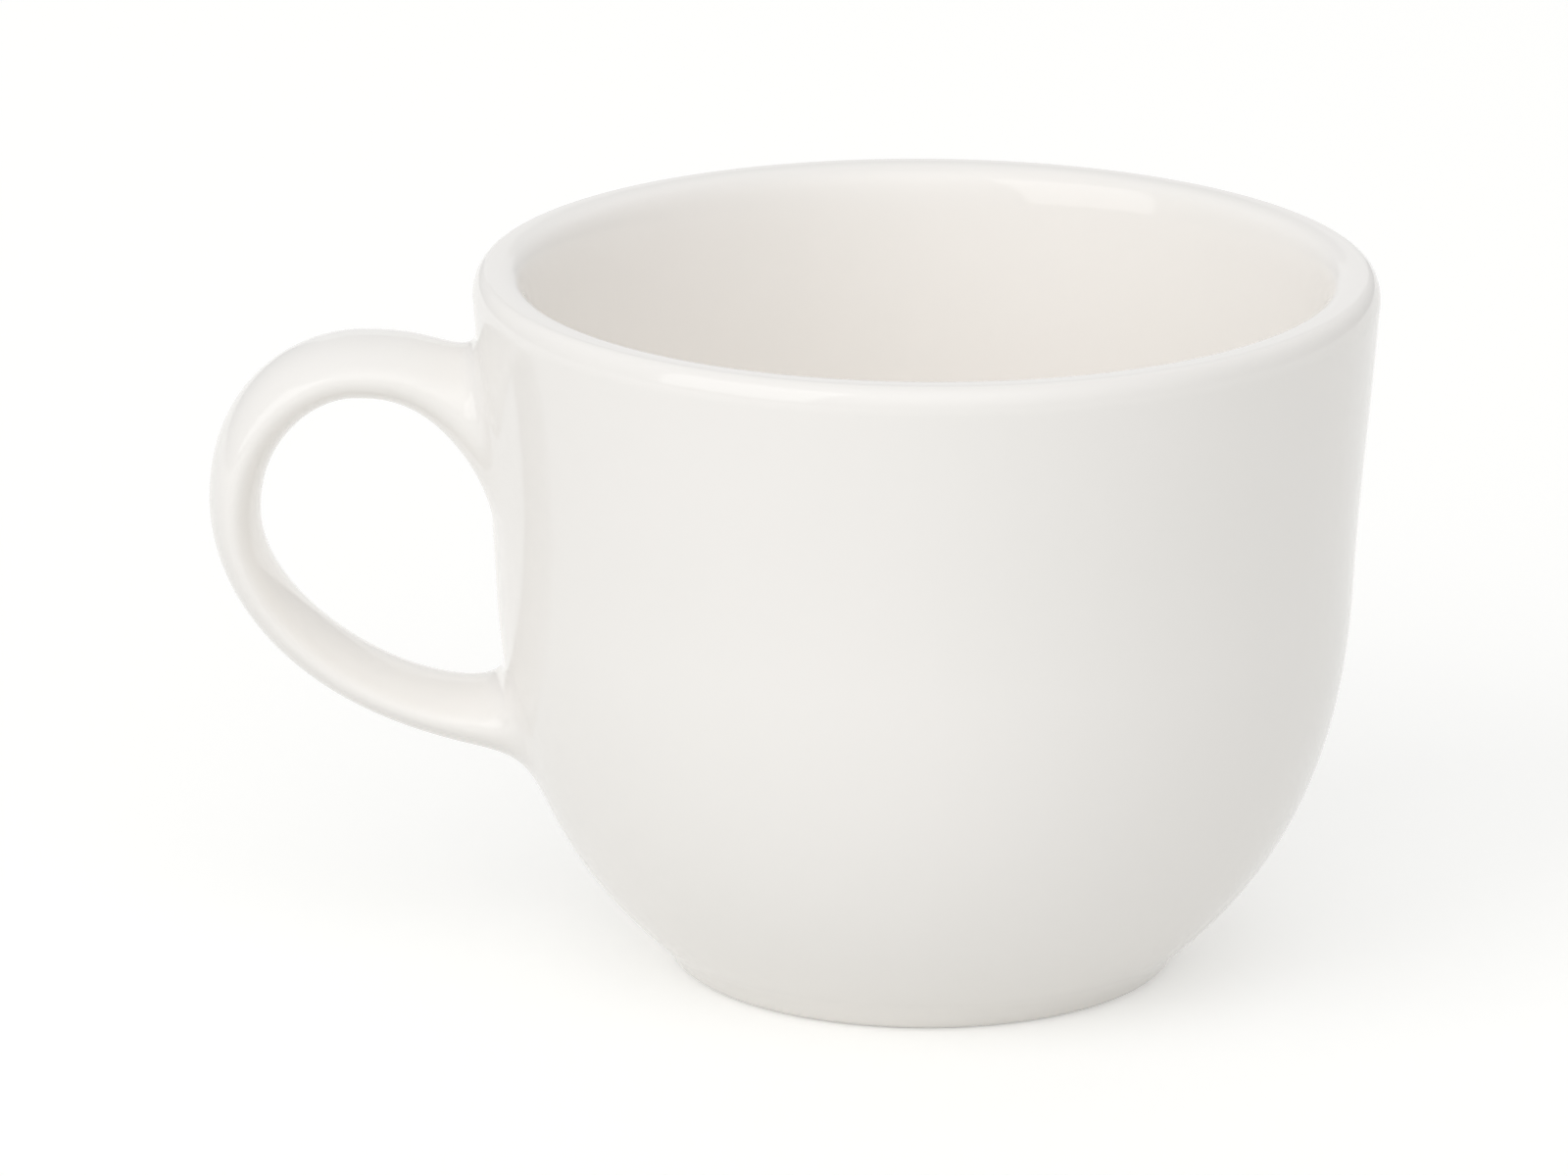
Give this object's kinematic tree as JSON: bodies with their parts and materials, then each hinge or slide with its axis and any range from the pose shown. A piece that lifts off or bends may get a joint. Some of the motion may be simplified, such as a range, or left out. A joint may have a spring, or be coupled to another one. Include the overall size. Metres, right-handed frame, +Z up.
{
  "type": "espresso cup",
  "caption": "Small round white porcelain espresso cup with a full bowl, a thick rounded lip, a low foot ring and an ear-shaped handle.",
  "frame": {"origin": "on the table, under the middle of the whole length from the handle's outermost face to the far side of the lip", "axes": "+X away from the handle along the cup's length, +Y across it, +Z up out of the cup's mouth"},
  "size_m": [0.084, 0.065, 0.0514],
  "materials": {
    "glazed_porcelain": "gloss",
    "glazed_slip": "gloss"
  },
  "bodies": {
    "root": {"cup_body": "glazed_porcelain", "handle": "glazed_porcelain", "upper_slip_joint": "glazed_slip", "lower_slip_joint": "glazed_slip"}
  },
  "joints": []
}
